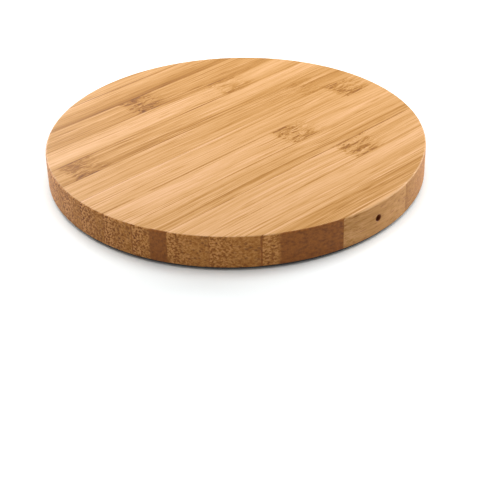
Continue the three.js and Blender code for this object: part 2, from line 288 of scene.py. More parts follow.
class Nodes:
    """One material's node tree. Each method adds a node and returns its output."""

    def __init__(self, name, shader=()):
        self.material = bpy.data.materials.new(name)
        self.material.use_nodes = True
        self.tree = self.material.node_tree
        self.shader = self.tree.nodes["Principled BSDF"]
        for socket, value in shader:
            self.shader.inputs[socket].default_value = value
        self.coordinates = self.add("TexCoord")
        drawn = self.coordinates.outputs["Object"]
        self.place = self.vector("MULTIPLY", drawn, (1 / MM,) * 3)

    def add(self, kind, inputs=None, **settings):
        """A new node. inputs gives a value or a link for each input's name or number."""
        node = self.tree.nodes.new("ShaderNode" + kind)
        for name, value in settings.items():
            setattr(node, name, value)
        for key, value in (inputs or {}).items():
            self.put(value, node.inputs[key])
        return node

    def put(self, value, target):
        """Links a socket, or sets a plain value."""
        if isinstance(value, bpy.types.NodeSocket):
            self.tree.links.new(value, target)
        else:
            target.default_value = value

    def math(self, operation, *values):
        return self.add("Math", dict(enumerate(values)), operation=operation).outputs[0]

    def vector(self, operation, *values):
        """Vector arithmetic, with a plain number where the operation gives one."""
        node = self.add("VectorMath", dict(enumerate(values)), operation=operation)
        return node.outputs["Value" if operation in ("DOT_PRODUCT", "LENGTH") else "Vector"]

    def sum(self, *values):
        total = values[0]
        for value in values[1:]:
            total = self.math("ADD", total, value)
        return total

    def product(self, *values):
        total = values[0]
        for value in values[1:]:
            total = self.math("MULTIPLY", total, value)
        return total

    def step(self, value, low, high):
        """0 below low, 1 above high and smooth between them. Low above high turns it round."""
        inputs = {"Value": value, "From Min": min(low, high), "From Max": max(low, high)}
        if low > high:
            inputs |= {"To Min": 1, "To Max": 0}
        return self.add("MapRange", inputs, interpolation_type="SMOOTHSTEP").outputs["Result"]

    def split(self, vector):
        return self.add("SeparateXYZ", {0: vector}).outputs

    def combine(self, *values):
        return self.add("CombineXYZ", dict(enumerate(values))).outputs[0]

    def stretched(self, scale, source=None):
        """The place in millimetres, times a scale for each axis."""
        return self.vector("MULTIPLY", source or self.place, scale)

    def noise(self, scale, detail=2.0, rough=0.5, source=None, warp=0.0):
        """Noise, about 0.5, with one scale for each axis, in features to a millimetre."""
        inputs = {"Scale": 1, "Detail": detail, "Roughness": rough, "Distortion": warp}
        inputs["Vector"] = self.stretched(scale, source)
        return self.add("TexNoise", inputs).outputs["Fac"]

    def cells(self, vector, randomness=1.0):
        inputs = {"Vector": vector, "Scale": 1, "Randomness": randomness}
        return self.add("TexVoronoi", inputs).outputs["Distance"]

    def ramp(self, value, stops, interpolation="LINEAR"):
        """stops is a list of (position, colour)."""
        node = self.add("ValToRGB", {"Fac": value})
        node.color_ramp.interpolation = interpolation
        elements = node.color_ramp.elements
        while len(elements) < len(stops):
            elements.new(1.0)
        for element, (position, colour) in zip(elements, stops):
            element.position = position
            element.color = colour
        return node.outputs

    def mix(self, factor, first, second, blend="MIX"):
        node = self.add("Mix", {"Factor": factor}, data_type="RGBA", blend_type=blend)
        colours = [socket for socket in node.inputs if socket.type == "RGBA"]
        self.put(first, colours[0])
        self.put(second, colours[1])
        return next(socket for socket in node.outputs if socket.type == "RGBA")

    def colour(self, value):
        self.put(value, self.shader.inputs["Base Color"])

    def roughness(self, value):
        self.put(value, self.shader.inputs["Roughness"])

    def bump(self, height, strength, depth):
        """Bump from a height of 0 to 1, depth millimetres deep."""
        inputs = {"Height": height, "Strength": strength, "Distance": depth * MM}
        self.put(self.add("Bump", inputs).outputs[0], self.shader.inputs["Normal"])


# The laminate. The glue lines are a strip apart, and the first one is near the indicator.
STRIP_WIDTH = 7.67
FIRST_GLUE_LINE = -43.87
# For each strip from -Y to +Y: the wood's tone from 0, dark, to 1, pale, at its -Y edge, middle
# and +Y edge, once at the -X end and once at the +X end.
STRIP_TONES = [
    ((0.70, 0.70, 0.70), (0.70, 0.70, 0.70)),
    ((0.50, 0.34, 0.80), (0.43, 0.34, 0.73)),
    ((0.58, 0.74, 0.66), (0.43, 0.75, 0.68)),
    ((0.84, 0.70, 0.74), (0.71, 0.63, 0.68)),
    ((0.53, 0.49, 0.77), (0.55, 0.48, 0.65)),
    ((0.75, 0.82, 0.70), (0.68, 0.68, 0.59)),
    ((0.78, 0.70, 0.81), (0.59, 0.62, 0.53)),
    ((0.68, 0.57, 0.66), (0.44, 0.36, 0.40)),
    ((0.24, 0.40, 0.49), (0.25, 0.73, 0.60)),
    ((0.42, 0.86, 0.53), (0.33, 0.68, 0.17)),
    ((0.30, 0.45, 0.34), (0.10, 0.39, 0.43)),
    ((0.00, 0.40, 0.60), (0.04, 0.47, 0.55)),
    ((0.55, 0.55, 0.55), (0.55, 0.55, 0.55)),
]
# For each strip: the place along X of its knuckle as a share of the radius, and how strong it is;
# how far its soft inner wood reaches from its -Y edge; and how dark the glue line at that edge is.
STRIP_TRAITS = [
    (0.00, 0.0, 1.00, 0.0),
    (-0.75, 0.0, 0.72, 0.2),
    (-0.95, 0.0, 0.00, 0.1),
    (0.36, 0.9, 0.00, 1.0),
    (-0.90, 0.0, 0.47, 0.2),
    (0.24, 0.8, 0.00, 0.5),
    (0.84, 0.8, 0.00, 1.0),
    (0.69, 0.3, 0.00, 0.0),
    (-0.78, 0.75, 0.00, 0.2),
    (0.40, 0.5, 0.00, 0.1),
    (-0.10, 0.9, 0.00, 0.2),
    (0.75, 0.0, 0.00, 0.3),
    (0.00, 0.0, 0.30, 0.0),
]
# For each strip: where a dark streak runs along it, as a share of its width, and how dark it is;
# how far along X, from 0 at the -X side to 1, its glue line fades out; and a pale +Y edge line.
STRIP_STREAKS = [
    (0.50, 0.0, 0.0, 0.0),
    (0.67, 0.8, 0.9, 0.0),
    (0.45, 0.3, 0.6, 0.2),
    (0.70, 0.4, 1.0, 0.3),
    (0.30, 0.8, 0.9, 0.0),
    (0.20, 0.3, 0.5, 0.2),
    (0.55, 0.2, 0.6, 0.9),
    (0.35, 0.3, 0.5, 0.1),
    (0.15, 0.5, 0.8, 0.0),
    (0.92, 0.4, 0.6, 0.2),
    (0.30, 0.4, 0.6, 0.1),
    (0.08, 0.3, 0.6, 0.0),
    (0.50, 0.0, 0.5, 0.0),
]
WOOD_TONES = [
    (-0.6, srgb(108, 58, 0)),
    (-0.25, srgb(134, 80, 4)),
    (0.0, srgb(152, 100, 26)),
    (0.25, srgb(170, 119, 52)),
    (0.5, srgb(186, 137, 78)),
    (0.75, srgb(199, 151, 98)),
    (1.0, srgb(212, 165, 122)),
]
END_GRAIN = (0.80, 0.62, 0.34, 1.0)
SOFT_WOOD = [(0.3, srgb(104, 52, 2)), (0.7, srgb(150, 84, 12))]
END_DOTS = (0.44, 0.36, 0.22, 1.0)
# Painted shade: multiplies the wood's colour on upright faces, so the rim looks darker than the
# top
SHADED_SIDE = (0.80, 0.70, 0.46, 1.0)
SCORCHED = srgb(128, 64, 26)
KNUCKLE_HALF = 4.4  # millimetres along the strip


def strip_card(g, across, values):
    """Looks up four values that each strip has of its own."""
    share = 1 / len(values)
    stops = [(i * share, value) for i, value in enumerate(values)]
    return g.ramp(across, stops, "CONSTANT")


def wood_colour(g, tone):
    """The wood's colour at a tone."""
    lowest, highest = WOOD_TONES[0][0], WOOD_TONES[-1][0]
    span = highest - lowest
    stops = [((place - lowest) / span, colour) for place, colour in WOOD_TONES]
    return g.ramp(g.math("MULTIPLY_ADD", tone, 1 / span, -lowest / span), stops)[0]


def centred(g, value, strength):
    """A noise moved to swing about zero, times a strength."""
    return g.math("MULTIPLY_ADD", value, strength, -strength / 2)


class Laminate:
    """Where a point is in the laminate and what its strip is like, as sockets."""

    def __init__(self, g):
        self.x, self.y, self.z = g.split(g.place)
        self.strips = g.math("DIVIDE", g.math("SUBTRACT", self.y, FIRST_GLUE_LINE), STRIP_WIDTH)
        # How far across its strip the point is, from the -Y edge, and the same from the +Y edge
        self.share = g.math("FRACT", self.strips)
        self.rest = g.math("SUBTRACT", 1, self.share)
        self.balance = g.math("SUBTRACT", 1, g.product(self.share, 2))

        card = g.math("DIVIDE", g.math("ADD", self.strips, 1), len(STRIP_TONES))
        self.left, _ = strip_card(g, card, [(*left, 1) for left, _ in STRIP_TONES])
        self.right, _ = strip_card(g, card, [(*right, 1) for _, right in STRIP_TONES])
        places = [((row[0] + 1) / 2, *row[1:]) for row in STRIP_TRAITS]
        traits, self.glue = strip_card(g, card, places)
        self.knuckle_place, self.knuckle_strength, self.soft_reach = g.split(traits)
        streaks, self.pale_edge = strip_card(g, card, STRIP_STREAKS)
        self.streak_place, self.streak_depth, self.glue_reach = g.split(streaks)


def strip_tone(g, at):
    """A curve through the strip's edge, middle and other edge, blended along the strip."""
    weights = g.combine(
        g.product(at.rest, at.balance),
        g.product(at.share, at.rest, 4),
        g.product(at.share, at.balance, -1),
    )
    left, right = [g.vector("DOT_PRODUCT", tones, weights) for tones in (at.left, at.right)]
    return g.math("MULTIPLY_ADD", g.step(at.x, -26, 30), g.math("SUBTRACT", right, left), left)


def knuckle_area(g, at):
    """1 where a strip crosses a joint of the cane: sharp at -X and fading towards +X."""
    centre = g.product(g.math("MULTIPLY_ADD", at.knuckle_place, 2, -1), PAD_RADIUS)
    ragged = centred(g, g.noise((0.3, 1.3, 1.3), detail=2), 4.0)
    reach = g.math("DIVIDE", g.sum(g.math("SUBTRACT", at.x, centre), ragged), KNUCKLE_HALF)
    return g.product(g.step(reach, -1.2, -0.7), g.step(reach, 1.9, 0.1), at.knuckle_strength)


def knuckle_marks(g, at, knuckle):
    """The tone of a knuckle's dark strands, pale flecks and dark strip edges."""
    strands = g.step(g.noise((0.22, 1.2, 0.7), detail=2, rough=0.6, warp=1.1), 0.47, 0.60)
    edges = g.math("POWER", g.math("ABSOLUTE", at.balance), 6)
    marks = g.sum(0.16, g.product(strands, 0.8), g.product(edges, 0.5))
    flecks = g.step(g.noise((0.7, 2.0, 1.4), detail=2), 0.62, 0.75)
    return g.product(knuckle, g.sum(g.product(marks, -0.85), g.product(flecks, 0.3)))


def seams(g, at, line):
    """The tones of the glue lines, dark in dashes, and of the streaks and pale edges by them."""
    broken = g.step(g.noise((0.07, 0.2, 0.5), detail=2), 0.30, 0.46)
    left_over = g.math("SUBTRACT", at.glue_reach, 0.5)
    ahead = g.math("MULTIPLY_ADD", at.x, -0.5 / PAD_RADIUS, left_over)
    glue_dark = g.product(line, at.glue, broken, g.step(ahead, -0.05, 0.1))
    off_streak = g.math("ABSOLUTE", g.math("SUBTRACT", at.share, at.streak_place))
    streak = g.product(g.step(off_streak, 0.07, 0.02), at.streak_depth)
    pale = g.product(g.step(at.rest, 0.10, 0.03), at.pale_edge)
    return g.sum(g.product(glue_dark, -1.1), g.product(streak, -0.24), g.product(pale, 0.22))


def end_grain(g, at, bands, facing):
    """The end grain's colour and relief. Its bundles of vessels are fine and close at a strip's
    +Y side, and larger and apart at its -Y side. Soft wood has hardly any.
    """
    soft_side = g.step(g.math("SUBTRACT", at.soft_reach, at.share), -0.05, 0.03)
    soft = g.product(soft_side, g.step(at.x, 6, -6))
    firm = g.math("MULTIPLY_ADD", soft, -0.85, 1)
    wavy = g.sum(at.share, centred(g, g.noise((0.1, 0.6, 0.6)), 0.6))
    outer = g.step(wavy, 0.15, 1.0)
    crowd = g.product(g.math("MULTIPLY_ADD", outer, 0.75, 0.25), firm)
    # The flecks are bolder away from the indicator's side
    bold = g.math("MULTIPLY_ADD", g.step(at.y, -32, 0), 0.7, 1.0)
    fine = g.step(g.noise((1.3, 2.2, 2.4), detail=1, rough=0.5), 0.38, 0.62)
    bundles = g.product(g.math("SUBTRACT", fine, 0.46), bold, crowd)
    coarse = g.step(g.cells(g.stretched((0, 1.35, 1.25))), 0.46, 0.20)
    dots = g.product(coarse, g.math("SUBTRACT", 1, outer), firm, 0.7)

    speckle = g.noise((1.0, 1.7, 1.7), detail=3, rough=0.65)
    tone = g.sum(0.42, centred(g, speckle, 2.2), centred(g, bands, 0.4), bundles)
    colour = g.mix(1.0, wood_colour(g, tone), END_GRAIN, "MULTIPLY")
    colour = g.mix(g.product(soft, 0.88), colour, g.ramp(speckle, SOFT_WOOD)[0])
    colour = g.mix(dots, colour, g.mix(1.0, colour, END_DOTS, "MULTIPLY"))

    # A face that is nearly along the fibres shows little end grain, but soft wood shows sooner.
    # The outermost strip at -Y is seen along its fibres only.
    dull = g.product(soft, g.step(facing, 0.06, 0.16))
    crosscut = g.step(g.math("MULTIPLY_ADD", dull, 0.42, facing), 0.22, 0.62)
    amount = g.product(crosscut, g.math("GREATER_THAN", at.strips, 0))
    relief = g.product(g.sum(g.product(dots, -0.6), g.product(bundles, 0.25)), amount)
    return colour, amount, relief


def bamboo_material():
    """Side-pressed bamboo, solid through the piece: strips, fibres, knuckles and end grain."""
    g = Nodes("bamboo", [("Specular IOR Level", 0.36)])
    at = Laminate(g)
    knuckle = knuckle_area(g, at)

    # Fibres: long bands, lines and fine hairs that wander a little, and curl at the knuckles
    wander = centred(g, g.noise((0.02, 0.05, 0.05), detail=1), 3.2)
    curl = centred(g, g.noise((0.28, 0.5, 0.5), detail=2, rough=0.7), 5.0)
    sideways = g.sum(wander, g.product(curl, knuckle))
    wood = g.vector("ADD", g.place, g.combine(0.0, sideways, g.product(wander, 0.5)))
    bands = g.noise((0.010, 0.55, 0.25), detail=2, source=wood)
    lines = g.noise((0.018, 1.7, 0.9), detail=3, rough=0.65, source=wood)
    hairs = g.noise((0.06, 4.0, 3.0), detail=3, rough=0.7, source=wood)
    dark_lines = g.step(g.noise((0.016, 2.3, 1.4), detail=1, source=wood), 0.60, 0.74)
    pale_lines = g.step(g.noise((0.018, 2.0, 1.6), detail=1, source=wood), 0.38, 0.25)
    dashes = g.step(g.noise((0.12, 2.6, 2.2), detail=1, source=wood), 0.60, 0.70)
    combed = g.step(g.noise((0.03, 0.16, 0.16), detail=1), 0.45, 0.65)
    line = g.step(at.share, 0.07, 0.035)
    tone = g.sum(
        strip_tone(g, at),
        centred(g, bands, 0.5),
        centred(g, lines, 0.9),
        g.product(centred(g, hairs, 2.0), g.math("MULTIPLY_ADD", combed, 0.7, 0.6)),
        g.product(dark_lines, -0.24),
        g.product(pale_lines, 0.2),
        g.product(dashes, -0.22),
        knuckle_marks(g, at, knuckle),
        seams(g, at, line),
    )
    face = wood_colour(g, tone)

    # The long-grain part of the rim has open pores, and is scorched in the drilled hole
    normal_x, _, normal_z = g.split(g.coordinates.outputs["Normal"])
    # Painted shade: upright faces take the darkened colour, standing in for the dimmer light on
    # the rim
    side = g.step(normal_z, 0.6, 0.1)
    pores = g.step(g.noise((0.45, 2.2, 2.0), detail=1), 0.60, 0.68)
    shaded_panel = g.mix(g.product(pores, 0.4), g.mix(1.0, face, SHADED_SIDE, "MULTIPLY"), SCORCHED)
    face = g.mix(side, face, shaded_panel)
    above_hole = g.math("SUBTRACT", at.z, INDICATOR_HEIGHT)
    off_axis = g.vector("LENGTH", g.combine(at.x, 0.0, above_hole))
    bore = g.step(off_axis, HOLE_RADIUS + 0.10, HOLE_RADIUS + 0.01)
    in_front = g.step(at.y, -PAD_RADIUS + 6, -PAD_RADIUS + 5)
    face = g.mix(g.product(bore, in_front), face, SCORCHED)

    end, endness, pits = end_grain(g, at, bands, g.math("ABSOLUTE", normal_x))
    g.colour(g.mix(endness, face, end))
    g.roughness(g.sum(0.5, g.product(lines, 0.16), g.product(endness, 0.12)))
    grooves = g.sum(g.product(lines, 0.3), g.product(hairs, 0.25), g.product(dark_lines, -0.25))
    g.bump(g.sum(0.6, pits, g.product(grooves, 0.6), g.product(line, -0.08)), 0.6, 0.12)
    return g.material


def plastic(name, colour, rough, grain, speck=0.15):
    """Moulded plastic with a spark-eroded grain, so many bumps to a millimetre."""
    g = Nodes(name)
    fine = g.noise((grain, grain, grain), detail=3, rough=0.6)
    wide = g.noise((0.12, 0.12, 0.12), detail=2)
    dark = tuple(value * (1 - speck) for value in colour[:3]) + (1.0,)
    pale = tuple(value * (1 + speck) for value in colour[:3]) + (1.0,)
    blend = g.sum(g.product(fine, 0.6), g.product(wide, 0.4))
    g.colour(g.ramp(blend, [(0.3, dark), (0.7, pale)])[0])
    g.roughness(g.sum(rough, g.math("MULTIPLY_ADD", wide, 0.2, -0.1)))
    g.bump(fine, 0.35, 0.3 / grain)
    return g.material


def metal(name, colour, rough, scratch=(0.6, 14.0, 14.0)):
    """Plated metal with fine scratches and a few dull patches."""
    g = Nodes(name, [("Metallic", 1.0)])
    scratches = g.noise(scratch, detail=3, rough=0.7)
    patches = g.noise((0.5, 0.5, 0.5), detail=2)
    dull = tuple(value * 0.72 for value in colour[:3]) + (1.0,)
    g.colour(g.mix(g.step(patches, 0.35, 0.75), colour, dull))
    g.roughness(g.sum(rough, g.product(scratches, 0.18), g.product(patches, 0.08)))
    g.bump(scratches, 0.15, 0.02)
    return g.material


def board_material():
    """Green solder mask over a copper plane, with arcs of track round the board and vias."""
    g = Nodes("solder_mask", [("Coat Weight", 0.3)])
    x, y, _ = g.split(g.place)
    radius = g.math("POWER", g.sum(g.product(x, x), g.product(y, y)), 0.5)
    lane = g.math("ABSOLUTE", g.math("SUBTRACT", g.math("FRACT", g.product(radius, 1.1)), 0.5))
    run = g.step(g.noise((0.11, 0.11, 0.0), detail=1), 0.50, 0.52)
    tracks = g.product(g.step(lane, 0.20, 0.14), run)
    gaps = g.product(g.step(lane, 0.22, 0.30), run)
    vias = g.cells(g.stretched((0.42, 0.42, 0.0)), randomness=0.75)
    ring = g.product(g.step(vias, 0.15, 0.13), g.step(vias, 0.06, 0.08))
    drill = g.step(vias, 0.07, 0.05)
    weave = g.noise((3.0, 3.0, 3.0), detail=2)
    mask = g.ramp(weave, [(0.3, srgb(16, 82, 46)), (0.7, srgb(22, 100, 56))])[0]
    etched = g.mix(g.product(gaps, 0.75), mask, srgb(8, 48, 28))
    raised = g.mix(g.product(tracks, 0.5), etched, srgb(44, 134, 76))
    with_rings = g.mix(ring, raised, srgb(196, 176, 120))
    g.colour(g.mix(drill, with_rings, srgb(18, 30, 20)))
    g.roughness(g.sum(0.32, g.product(weave, 0.12)))
    relief = g.sum(0.3, g.product(gaps, -0.3), g.product(drill, -0.3), g.product(weave, 0.2))
    g.bump(relief, 0.4, 0.05)
    return g.material


def litz_material():
    """Copper litz: fine strands in each twisted bundle, with a little fuzz of silk."""
    g = Nodes("litz", [("Metallic", 0.6)])
    x, y, _ = g.split(g.place)
    radius = g.math("POWER", g.sum(g.product(x, x), g.product(y, y)), 0.5)
    angle = g.math("ARCTAN2", y, x)
    lay = g.sum(g.product(angle, 90.0), g.product(radius, 36.0))
    strands = g.math("MULTIPLY_ADD", g.math("SINE", lay), 0.5, 0.5)
    fuzz = g.noise((4.0, 4.0, 4.0), detail=2)
    copper = [(0.2, srgb(112, 58, 28)), (0.8, srgb(196, 118, 66))]
    g.colour(g.ramp(g.sum(g.product(strands, 0.6), g.product(fuzz, 0.4)), copper)[0])
    g.roughness(g.sum(0.36, g.product(fuzz, 0.2)))
    g.bump(strands, 0.5, 0.05)
    return g.material


def speckled(name, dark, pale, grain, rough):
    """A sintered, moulded or papery surface with fine specks."""
    g = Nodes(name)
    specks = g.noise((grain, grain, grain), detail=4, rough=0.7)
    g.colour(g.ramp(specks, [(0.35, dark), (0.65, pale)])[0])
    g.roughness(g.sum(rough, g.product(specks, 0.2)))
    g.bump(specks, 0.3, 0.3 / grain)
    return g.material


bamboo = bamboo_material()
cover_black = plastic("cover_plastic", srgb(34, 34, 36), 0.55, 5.0)
silicone = plastic("silicone", srgb(52, 52, 54), 0.72, 3.0, speck=0.25)
label_film = plastic("label_film", srgb(168, 168, 164), 0.42, 9.0, speck=0.04)
label_ink = plastic("label_ink", srgb(70, 70, 70), 0.5, 9.0, speck=0.1)
port_black = plastic("port_plastic", srgb(26, 26, 27), 0.5, 7.0)
zinc = metal("screw_steel", srgb(176, 178, 182), 0.26)
nickel = metal("port_steel", srgb(196, 198, 203), 0.2, scratch=(14.0, 0.6, 14.0))
gold = metal("contact_gold", srgb(226, 184, 98), 0.2, scratch=(14.0, 1.0, 14.0))
tin = metal("tin", srgb(200, 200, 202), 0.34, scratch=(3.0, 3.0, 3.0))
solder_mask = board_material()
litz = litz_material()
ferrite = speckled("ferrite", srgb(44, 44, 46), srgb(74, 73, 76), 5.0, 0.55)
tape = speckled("tape", srgb(208, 202, 184), srgb(232, 228, 214), 2.5, 0.6)
chip_resin = speckled("chip_resin", srgb(26, 26, 28), srgb(40, 40, 42), 7.0, 0.45)
chip_ceramic = speckled("chip_ceramic", srgb(148, 116, 82), srgb(176, 142, 104), 6.0, 0.35)
led_resin = speckled("led_resin", srgb(216, 210, 190), srgb(236, 232, 218), 4.0, 0.25)


# ---- The bamboo body ----

RIM_COUNT = 540
EDGE_ROUND = 0.4
EDGE_WEAR = 0.10  # how much deeper the edge's worst frayed spots are
POCKET_RADIUS = 39.0
LUG_RADIUS = 2.8
BAY_REACH = 41.2
BAYS = [(9, -1), (16.4, 1)]  # the width of each and its side along Y
BAY_CORNER = 1.5
PILOT_RADIUS = 0.95
COVER_CLEARANCE = 0.15
PORT_SLOT = (9.6, 3.9)
PORT_MOUTH = 1.4  # how much wider the port's mouth is outside the rim
HOLE_MOUTH = 0.62


def rim_loop(inset, height):
    """The rim's outline, frayed a little at its edges where the fibres end at the surface."""
    points = []
    for i in range(RIM_COUNT):
        degrees = 360 * i / RIM_COUNT
        spot = polar(PAD_RADIUS, degrees)
        end_grain = abs(math.cos(math.radians(degrees)))
        coarse = noise.noise(Vector((spot.x * 0.35, spot.y * 0.8, height * 0.05)))
        fine = noise.noise(Vector((spot.x * 1.1, spot.y * 2.6, height * 0.4 + 7)))
        fray = max(0.0, 0.55 * coarse + 0.45 * fine) * (0.35 + 0.65 * end_grain)
        worn = EDGE_WEAR * fray if inset > 0 else 0.012 * fine
        points.append(polar(PAD_RADIUS - inset - abs(worn), degrees, height))
    return points


def port_loops():
    """The port's slot through the wall, with a bevelled mouth."""
    width, height = PORT_SLOT
    places = [(BAY_REACH - 2, 0), (PAD_RADIUS - 0.45, 0), (PAD_RADIUS + 0.6, PORT_MOUTH)]
    loops = [rounded_box(width + wider, height + wider, 9, along, 10) for along, wider in places]
    return moved(standing(loops), PORT_PLACE)


def indicator_loops():
    """The drilled hole of the indicator, with its edge just broken."""
    places = [(BAY_REACH - 2, 0), (PAD_RADIUS - 0.12, 0), (PAD_RADIUS + 0.5, HOLE_MOUTH)]
    loops = [circle(HOLE_RADIUS + wider, along, 48) for along, wider in places]
    half_turn = Matrix.Rotation(math.pi, 4, "Z")
    stood = [[half_turn @ p for p in loop] for loop in standing(loops)]
    return moved(stood, (0, 0, INDICATOR_HEIGHT))


def make_body():
    """The disc, milled from below: a pocket with bays and lugs, a recess, pilots and two holes."""
    body = mesh_of("bamboo_disc", prism(rim_loop, BODY_BOTTOM, PAD_TOP, EDGE_ROUND, 5))
    recess = cylinder(COVER_RADIUS + COVER_CLEARANCE, -1, COVER_TOP, 256)
    deep = (COVER_TOP - 0.8, SKIN_UNDERSIDE)
    pocket = mesh_of("pocket", cylinder(POCKET_RADIUS, *deep, 256))
    bay_depth = 3 * (BAY_REACH - POCKET_RADIUS)
    for width, side in BAYS:
        bay = [rounded_box(width, bay_depth, BAY_CORNER, height, 8) for height in deep]
        boolean(pocket, "UNION", moved(bay, (0, side * (BAY_REACH - bay_depth / 2), 0)))
    pilots = []
    for screw in SCREWS:
        spot = middle_mm(screw).xy
        boolean(pocket, "DIFFERENCE", cylinder(LUG_RADIUS, 0, PAD_TOP, 48, spot))
        pilots.append(cylinder(PILOT_RADIUS, 1, SKIN_UNDERSIDE - 0.2, 24, spot))
    boolean(body, "DIFFERENCE", pocket, recess, *pilots, indicator_loops(), port_loops())
    piece(body, [bamboo], ["bamboo_body"], smooth=28)


make_body()


# ---- Underneath: cover, feet, screws and label ----

FOOT_SEAT = 4.15
FOOT_GROOVE = (1.9, 2.6)  # its inner and outer radius
GROOVE_DEPTH = 0.12
LABEL_SEAT = 20.2
LABEL_DEPTH = 0.15
BORDER_INSETS = (1.35, 1.0)  # of the printed border's inner and outer edge
INK = 0.012  # its thickness
RIB = (29.4, 30.6)  # inner and outer radius of the ring that holds the board up
COUNTERBORE_RADIUS = 1.8
COUNTERBORE_DEPTH = 1.3
SCREW_HOLE_RADIUS = 1.0
HEAD_HEIGHT = 0.75
CROSS_MOUTH = (1.75, 0.42)  # length and width of the cross recess at the head's face
CROSS_FLOOR = (1.35, 0.34)
CROSS_DEPTH = 0.45
CORE_RADIUS = 0.6
THREAD_HEIGHT = 0.24
THREAD_PITCH = 0.4
THREAD_LEVELS = 10  # loops to one turn of the thread
SHANK_COUNT = 24
# The screw head's outline: share of its radius, and height above its face
SCREW_HEAD = [
    (0.62, 0),
    (0.80, 0.03),
    (0.93, 0.12),
    (0.99, 0.28),
    (1.0, 0.42),
    (1.0, 0.70),
    (0.97, 0.75),
]


def make_cover():
    """A flange under the bamboo, a plug in its recess, and the ring that holds the board up."""
    flange = disc(FLANGE_RADIUS, COVER_BOTTOM, BODY_BOTTOM, 0.12, count=360)
    plug = disc(COVER_RADIUS, COVER_BOTTOM + 0.1, COVER_TOP, 0.3, count=320)
    inner, outer = RIB
    ring = mesh_of("ring", cylinder(outer, COVER_TOP - 0.5, BOARD_BOTTOM, 160))
    boolean(ring, "DIFFERENCE", cylinder(inner, 0, BOARD_BOTTOM + 1, 160))
    cover = boolean(mesh_of("cover", flange), "UNION", plug, ring)
    counterbore = [
        (COUNTERBORE_RADIUS + 0.35, COVER_BOTTOM - 0.2),
        (COUNTERBORE_RADIUS, COVER_BOTTOM + 0.15),
        (COUNTERBORE_RADIUS, COVER_BOTTOM + COUNTERBORE_DEPTH),
    ]
    cutters = []
    for screw in SCREWS:
        spot = middle_mm(screw).xy
        cutters.append([circle(radius, h, 40, spot) for radius, h in counterbore])
        cutters.append(cylinder(SCREW_HOLE_RADIUS, 0, COVER_TOP + 1, 24, spot))
    for foot in FEET:
        cutters.append(cylinder(FOOT_SEAT, 0, box_mm(foot)[1].z, 64, middle_mm(foot).xy))
    cutters.append(cylinder(LABEL_SEAT, 0, COVER_BOTTOM + LABEL_DEPTH, 128))
    boolean(cover, "DIFFERENCE", *cutters)
    piece(cover, [cover_black], ["bottom_cover"])


def make_foot(node):
    """A silicone puck with a soft edge and a shallow ring moulded in its underside."""
    low, high = box_mm(node)
    spot = ((low + high) / 2).xy
    radius = (high.x - low.x) / 2
    foot = mesh_of(node + "_pad", disc(radius, low.z, high.z, 0.22, count=72, middle=spot))
    inner, outer = FOOT_GROOVE
    groove = mesh_of("groove", cylinder(outer, -1, GROOVE_DEPTH, 56, spot))
    boolean(groove, "DIFFERENCE", cylinder(inner, -2, 1, 56, spot))
    boolean(foot, "DIFFERENCE", groove)
    piece(foot, [silicone], [node])


def threaded_shank(neck, tip, spot):
    """Loops of a screw's shank, from inside its head to its tip, with the thread as a helix."""
    shank = [circle(CORE_RADIUS, height, SHANK_COUNT, spot) for height in (neck - 0.1, neck + 0.3)]
    for level in range(int((tip - neck - 0.9) / THREAD_PITCH * THREAD_LEVELS)):
        height = neck + 0.35 + level * THREAD_PITCH / THREAD_LEVELS
        loop = []
        for i in range(SHANK_COUNT):
            phase = (level / THREAD_LEVELS - i / SHANK_COUNT) % 1
            crest = max(0.0, 1 - abs(phase - 0.5) * 2.6)
            radius = CORE_RADIUS + THREAD_HEIGHT * crest
            loop.append(Vector((*spot, 0)) + polar(radius, 360 * i / SHANK_COUNT, height))
        shank.append(loop)
    point = [(0.58, tip - 0.4), (0.3, tip - 0.02)]
    return shank + [circle(radius, height, SHANK_COUNT, spot) for radius, height in point]


def make_screw(node, turned):
    """A pan-head machine screw with a cross recess and a cut thread."""
    low, high = box_mm(node)
    spot = ((low + high) / 2).xy
    radius = (high.x - low.x) / 2
    head = [circle(radius * wide, low.z + rise, 48, spot) for wide, rise in SCREW_HEAD]
    screw = mesh_of(node + "_detailed", head)
    arms = []
    for degrees in (turned, turned + 90):
        mouth = rounded_box(*CROSS_MOUTH, 0.1, low.z - 0.3, 2)
        floor = rounded_box(*CROSS_FLOOR, 0.1, low.z + CROSS_DEPTH, 2)
        arms.append(moved([mouth, floor], (*spot, 0), degrees))
    shank = threaded_shank(low.z + HEAD_HEIGHT, high.z, spot)
    boolean(screw, "DIFFERENCE", *arms)
    boolean(screw, "UNION", shank)
    piece(screw, [zinc], [node], smooth=40)


def make_label():
    """A blank film with a printed border."""
    low, high = box_mm("rating_label")
    radius = high.x
    film = mesh_of("label_film", disc(radius, low.z, high.z, 0.03, 2, count=160))
    piece(film, [label_film], ["rating_label"])
    inner, outer = (radius - inset for inset in BORDER_INSETS)
    border = mesh_of("border", cylinder(outer, low.z - INK, low.z, 160))
    boolean(border, "DIFFERENCE", cylinder(inner, 0, 1, 160))
    border.name = "label_border"
    piece(border, [label_ink])


make_cover()
for foot_node in FEET:
    make_foot(foot_node)
for screw_node, cross_turn in zip(SCREWS, (12, 57, 31, 78)):
    make_screw(screw_node, cross_turn)
make_label()


# ---- The USB-C receptacle and the indicator ----

PORT_WIDTH = 8.94
PORT_HEIGHT = 3.26
PORT_WALL = 0.3
PORT_LIP = 0.09  # the bevel at its mouth
LEG_PLACES = (38.6, 40.1)  # along Y
LEG_WIDTH = 0.9
TONGUE = (6.69, 0.7)
CONTACT_PITCH = 0.5
CONTACT_COUNT = 12
CONTACT_WIDTH = 0.26
POWER_CONTACTS = (0, 3, 8, 11)  # these are longer
LAMP_WIDTH = 3.0
WINDOW_WIDTH = 2.2
LAMP_SHARE = 0.6  # of the indicator's depth, for its base and for its window


def port_outline(inset, along):
    """The shell's outline, some way inside its outer face."""
    return rounded_box(PORT_WIDTH - 2 * inset, PORT_HEIGHT - 2 * inset, 9, along, 12)


